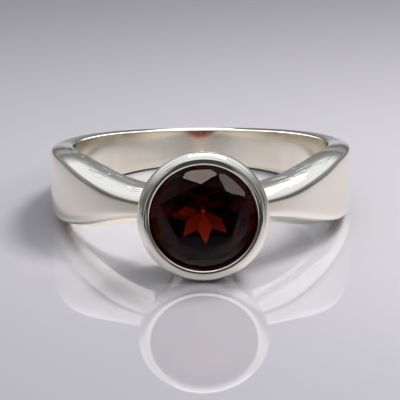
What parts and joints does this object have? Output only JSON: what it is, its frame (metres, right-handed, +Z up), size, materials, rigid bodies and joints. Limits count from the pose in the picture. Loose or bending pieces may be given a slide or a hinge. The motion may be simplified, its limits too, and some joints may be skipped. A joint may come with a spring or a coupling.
{
  "type": "garnet ring",
  "caption": "Finger ring with a round faceted garnet in a rounded bezel cup, on a polished band that is wide at the sides and pinches in to the stone.",
  "frame": {"origin": "on the surface that the ring lies on, under the middle of its bounding box", "axes": "+Z up, +Y from the stone to the back of the band, +X to the right of a viewer who faces the stone"},
  "size_m": [0.0194, 0.0216, 0.008],
  "materials": {
    "silver": "mirror polished silver",
    "garnet": "cut and polished gemstone"
  },
  "bodies": {
    "root": {"band_with_bezel": "silver", "garnet": "garnet"}
  },
  "joints": []
}
